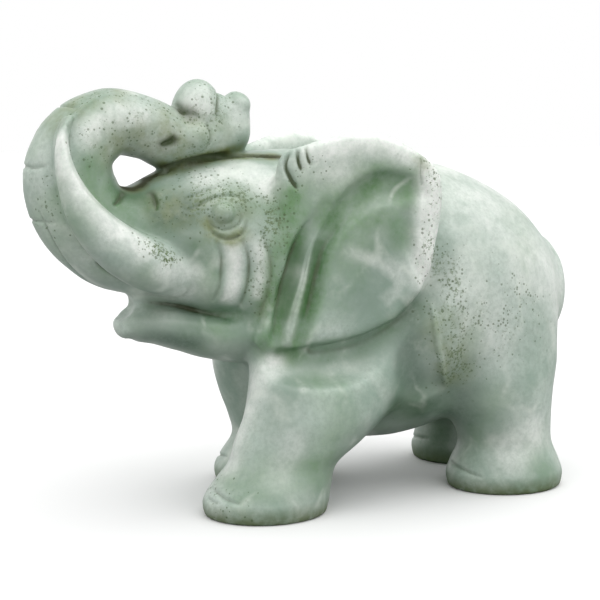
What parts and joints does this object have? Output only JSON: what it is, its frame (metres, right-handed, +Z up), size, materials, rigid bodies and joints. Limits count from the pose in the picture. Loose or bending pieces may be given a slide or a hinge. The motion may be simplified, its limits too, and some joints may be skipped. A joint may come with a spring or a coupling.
{
  "type": "elephant figurine",
  "caption": "Striding elephant carved from solid jade, trunk raised and curled back onto the brow in a loop, tusks in relief along the trunk, standing on flat soles.",
  "frame": {"origin": "on the ground under the middle of the figure's bounding box", "axes": "the elephant faces -Y, its left side is towards +X, +Z is up"},
  "size_m": [0.0509, 0.1233, 0.088],
  "materials": {
    "jade": "polished, pale green, slightly translucent"
  },
  "bodies": {
    "root": {"elephant_carving": "jade"}
  },
  "joints": []
}
